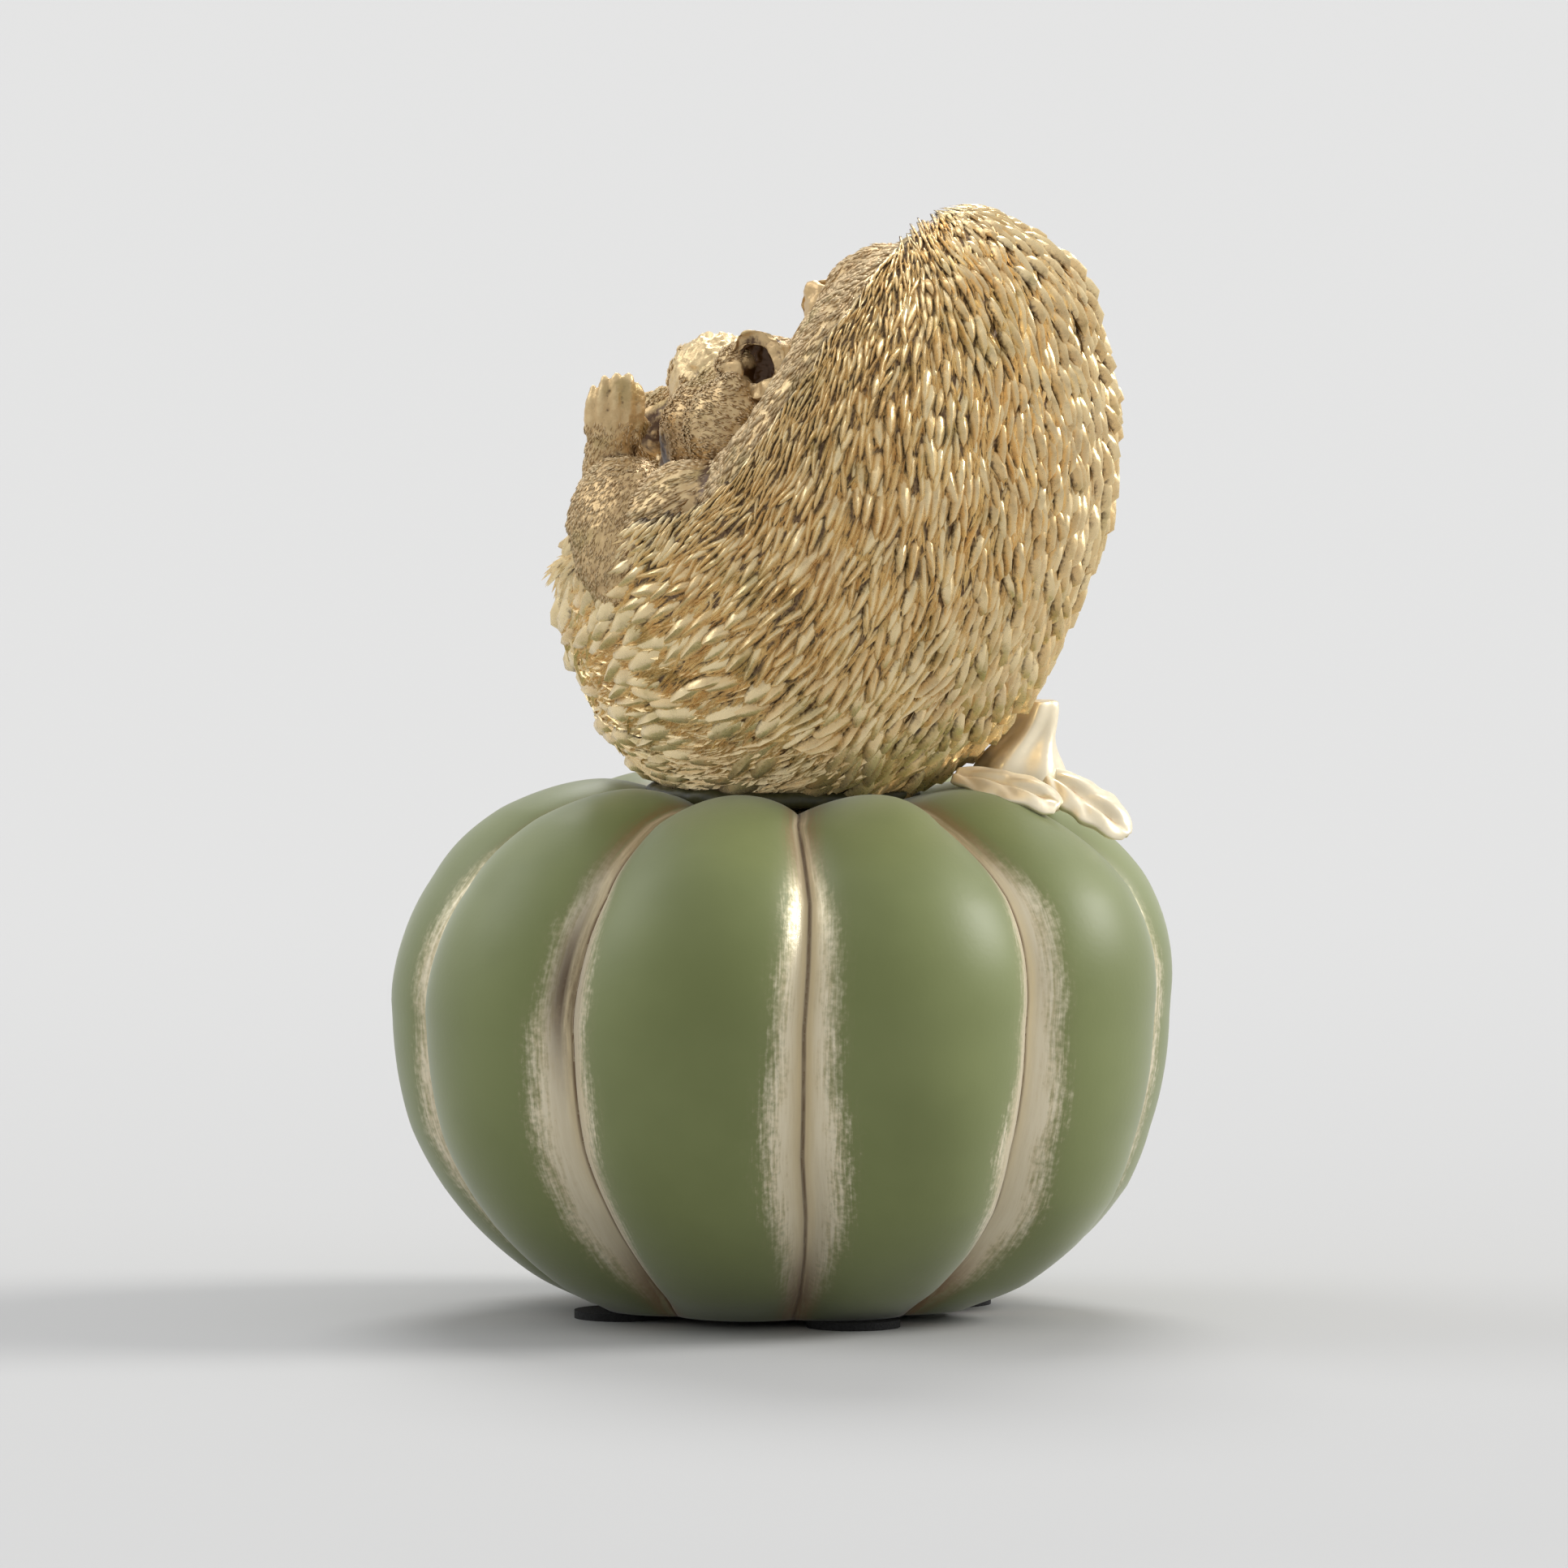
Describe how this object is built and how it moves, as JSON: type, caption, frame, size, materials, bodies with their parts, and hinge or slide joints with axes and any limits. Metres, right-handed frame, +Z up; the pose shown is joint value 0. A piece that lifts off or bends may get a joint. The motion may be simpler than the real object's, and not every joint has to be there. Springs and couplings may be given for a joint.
{
  "type": "hedgehog figurine",
  "caption": "Cast ornament of a gold hedgehog curled on its rump on top of a lobed green pumpkin with a stalk and leaves, standing on felt pads.",
  "frame": {"origin": "on the table, under the middle of the pumpkin", "axes": "+Z up; -Y towards the viewer of the picture; +X to the viewer's right, where the stalk and the leaves are"},
  "size_m": [0.0904, 0.0901, 0.1287],
  "materials": {
    "green_resin": "satin sage green paint with dry-brushed gold in the seams",
    "gold_resin": "antique champagne gold paint with dark patina in the recesses",
    "pale_gold_resin": "bright pale gold paint",
    "grey_filler": "bare cast filler",
    "dowel_steel": "plain steel rod",
    "dark_glue": "glossy epoxy bead touched in with dark green paint",
    "black_felt": "pressed felt"
  },
  "bodies": {
    "root": {"pumpkin_shell": "green_resin", "base_plug": "grey_filler", "locating_dowel": "dowel_steel", "felt_pad_front": "black_felt", "felt_pad_right": "black_felt", "felt_pad_back": "black_felt", "felt_pad_left": "black_felt", "glue_bead": "dark_glue", "spine_coat": "gold_resin", "furry_front": "gold_resin", "head": "gold_resin", "left_ear": "gold_resin", "right_ear": "gold_resin", "left_hind_foot": "gold_resin", "right_hind_foot": "gold_resin", "left_front_paw": "gold_resin", "right_front_paw": "gold_resin", "tail": "gold_resin", "stalk": "pale_gold_resin", "front_leaf": "pale_gold_resin", "rear_leaf": "pale_gold_resin"}
  },
  "joints": []
}
